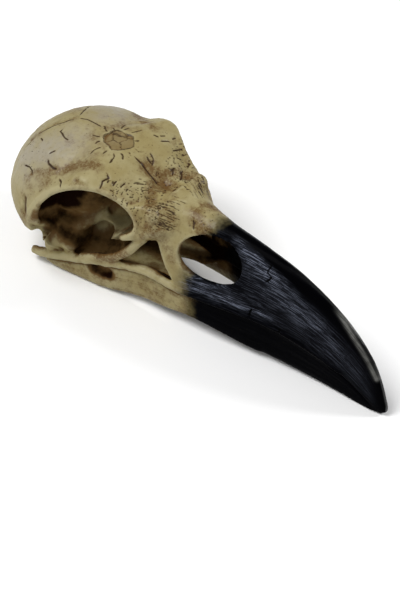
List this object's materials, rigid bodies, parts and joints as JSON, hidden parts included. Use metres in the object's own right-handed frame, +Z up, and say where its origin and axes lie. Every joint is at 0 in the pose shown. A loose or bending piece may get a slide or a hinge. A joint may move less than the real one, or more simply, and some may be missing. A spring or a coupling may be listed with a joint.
{
  "type": "painted resin raven skull ornament",
  "caption": "Resin ornament of a raven skull with its jaw shut: round braincase, deep eye sockets, arched black bill with an oval nostril on each side, aged cream bone finish.",
  "frame": {"origin": "on the floor under the middle of the skull's box", "axes": "+X towards the tip of the bill, +Y to the animal's left, +Z up"},
  "size_m": [0.2114, 0.0776, 0.0682],
  "materials": {
    "bone_resin": "cast resin painted aged bone, brown wash in the hollows, carved cracks and pits",
    "black_resin": "cast resin painted satin black, dry-brushed blue-grey along the grain"
  },
  "bodies": {
    "root": {"cranium": "bone_resin", "nose_roof": "bone_resin", "nose_wall_left": "bone_resin", "nose_wall_right": "bone_resin", "cheek_bar_left": "bone_resin", "cheek_bar_right": "bone_resin", "jaw_left": "bone_resin", "jaw_right": "bone_resin", "upper_bill": "black_resin", "jaw_front": "black_resin"}
  },
  "joints": []
}
